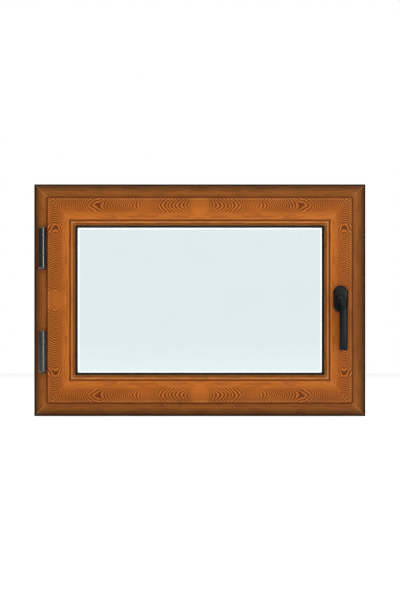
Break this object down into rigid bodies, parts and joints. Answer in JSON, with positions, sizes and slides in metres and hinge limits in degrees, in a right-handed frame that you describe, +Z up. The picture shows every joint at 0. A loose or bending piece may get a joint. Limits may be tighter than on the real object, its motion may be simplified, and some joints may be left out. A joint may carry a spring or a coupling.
{
  "type": "casement window",
  "caption": "Side-hung inward-opening casement window with a wood-effect frame, double glazing, barrel hinges and a cranked lever handle.",
  "frame": {"origin": "middle of the sill's underside, on the line that halves the width and the frame's depth", "axes": "+X to the right as seen from the room, +Y outdoors, +Z up"},
  "size_m": [0.8, 0.109, 0.56],
  "materials": {
    "frame_coating": "wood-effect powder coat, satin, golden oak, darker tone",
    "sash_coating": "wood-effect powder coat, satin, golden oak",
    "cast_alloy": "as cast",
    "spacer_alloy": "bright mill finish",
    "seal_rubber": "matt black",
    "edge_sealant": "matt black",
    "clear_glass": "clear, faint green-blue tint",
    "hinge_black": "black, semi-gloss",
    "hinge_cap_black": "black, semi-gloss",
    "handle_black": "black, satin, fine texture",
    "zinc_steel": "zinc plated",
    "grey_nylon": "moulded, matt"
  },
  "bodies": {
    "frame": {"frame_head": "frame_coating", "frame_sill": "frame_coating", "frame_jamb_hinge": "frame_coating", "frame_jamb_lock": "frame_coating", "frame_corner_cleats": "cast_alloy", "frame_rebate_gasket": "seal_rubber", "frame_anchor_caps": "frame_coating", "frame_drain_caps": "frame_coating", "keeper_upper": "zinc_steel", "keeper_lower": "zinc_steel", "keeper_screws": "zinc_steel", "upper_hinge_frame_leaf": "hinge_black", "lower_hinge_frame_leaf": "hinge_black", "upper_hinge_pin": "zinc_steel", "lower_hinge_pin": "zinc_steel", "hinge_top_caps": "hinge_cap_black", "hinge_frame_screws": "zinc_steel", "hinge_frame_clamps": "cast_alloy"},
    "sash": {"sash_top_rail": "sash_coating", "sash_bottom_rail": "sash_coating", "sash_hinge_stile": "sash_coating", "sash_lock_stile": "sash_coating", "sash_corner_cleats": "cast_alloy", "bead_top": "sash_coating", "bead_bottom": "sash_coating", "bead_hinge_side": "sash_coating", "bead_lock_side": "sash_coating", "glazing_gasket_inner": "seal_rubber", "glazing_gasket_outer": "seal_rubber", "glass_inner_pane": "clear_glass", "glass_outer_pane": "clear_glass", "glass_spacer": "spacer_alloy", "glass_edge_sealant": "edge_sealant", "setting_blocks": "grey_nylon", "sash_overlap_gasket": "seal_rubber", "upper_hinge_sash_leaf": "hinge_black", "lower_hinge_sash_leaf": "hinge_black", "hinge_sash_screws": "zinc_steel", "hinge_sash_clamps": "cast_alloy", "hinge_bushes": "grey_nylon", "handle_base": "grey_nylon", "handle_cover": "handle_black", "handle_screws": "zinc_steel", "handle_detent_ring": "grey_nylon", "lock_gear_case": "cast_alloy", "lock_gear_cover": "cast_alloy", "gear_case_screws": "zinc_steel", "rod_guides": "grey_nylon"},
    "handle": {"handle_lever": "handle_black", "handle_spindle": "zinc_steel", "lock_pinion": "zinc_steel", "handle_retaining_clip": "zinc_steel"},
    "drive_rod": {"drive_rod": "zinc_steel", "locking_cam_upper": "zinc_steel", "locking_cam_lower": "zinc_steel"}
  },
  "joints": [
    {"name": "sash_swing", "type": "hinge", "parent": "frame", "child": "sash", "pos_m": [-0.37861, -0.035, 0.28], "axis": [0, 0, -1], "range_deg": [0, 100]},
    {"name": "handle_turn", "type": "hinge", "parent": "sash", "child": "handle", "pos_m": [0.3394, -0.032, 0.283], "axis": [0, 1, 0], "range_deg": [0, 90]},
    {"name": "rod_slide", "type": "slide", "parent": "sash", "child": "drive_rod", "axis": [0, 0, -1], "range_m": [0, 0.0134]}
  ],
  "couplings": [
    {"joint": "rod_slide", "follows": "handle_turn", "m_per_rad": 0.0085}
  ]
}
